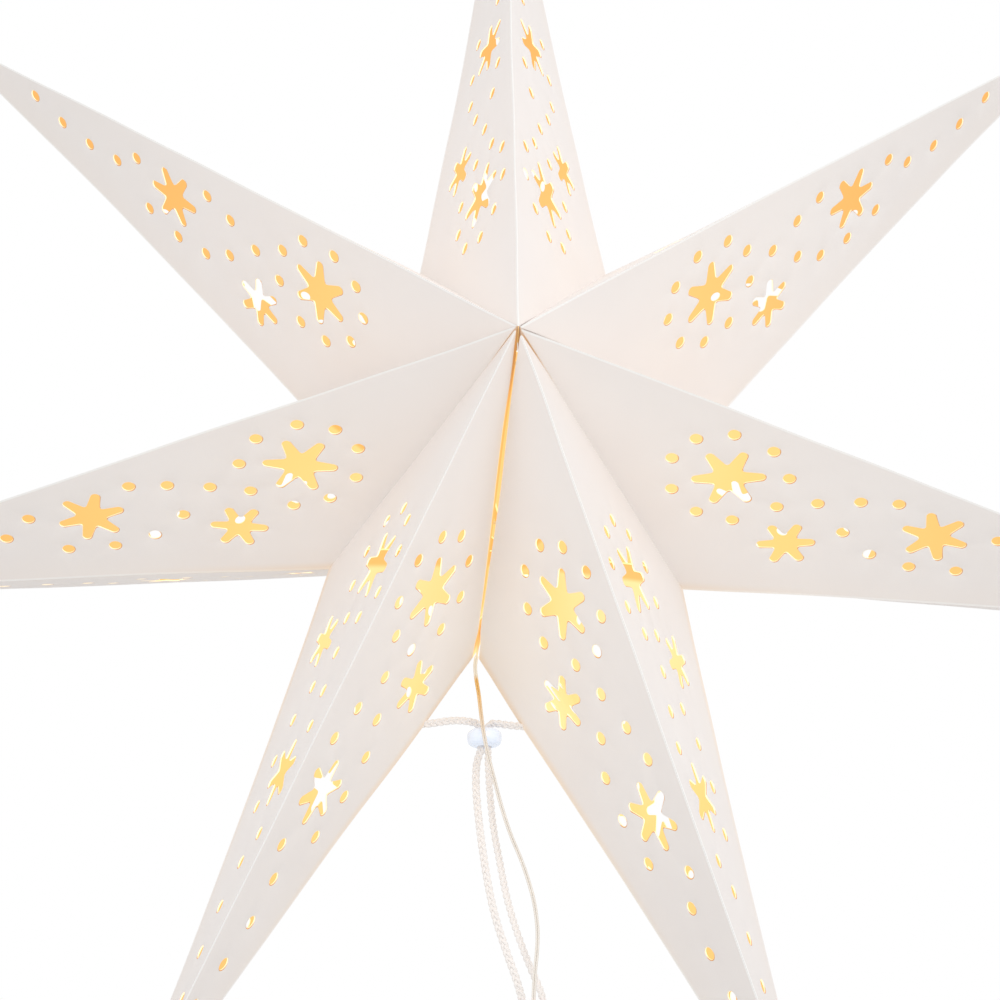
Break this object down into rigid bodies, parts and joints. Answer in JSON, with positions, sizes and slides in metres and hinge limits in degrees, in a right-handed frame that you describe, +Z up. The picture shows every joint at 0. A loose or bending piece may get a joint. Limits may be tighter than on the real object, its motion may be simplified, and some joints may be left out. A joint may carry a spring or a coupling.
{
  "type": "paper star lantern",
  "caption": "Hanging paper star lantern of folded, punched points glued in a fan, lit from inside, its slit tied with a cord and bead.",
  "frame": {"origin": "middle of the hanging hole near the tip of the top point", "axes": "+Z up, the front of the star faces -Y, +X to the right as seen from in front"},
  "size_m": [0.5954, 0.2454, 0.5968],
  "materials": {
    "paper": "matt white card, lit warm from inside",
    "bead": "milky translucent",
    "tie_cord": "white braided cotton",
    "clear_lead": "clear twin-core insulation",
    "lamp": "warm white light in clear resin",
    "coil_tie": "white wire tie",
    "plug_grip": "clear moulded plastic",
    "plug_barrel": "nickel plated"
  },
  "bodies": {
    "root": {"point_lower_right": "paper", "point_right": "paper", "point_upper_right": "paper", "point_top": "paper", "point_upper_left": "paper", "point_left": "paper", "point_lower_left": "paper", "bead": "bead", "tie_cord_left": "tie_cord", "tie_cord_right": "tie_cord", "tie_knots": "tie_cord", "light_chain_wire": "clear_lead", "light_chain_lamps": "lamp", "lead": "clear_lead", "lead_coil": "clear_lead", "coil_tie": "coil_tie", "plug_grip": "plug_grip", "plug_barrel": "plug_barrel"}
  },
  "joints": []
}
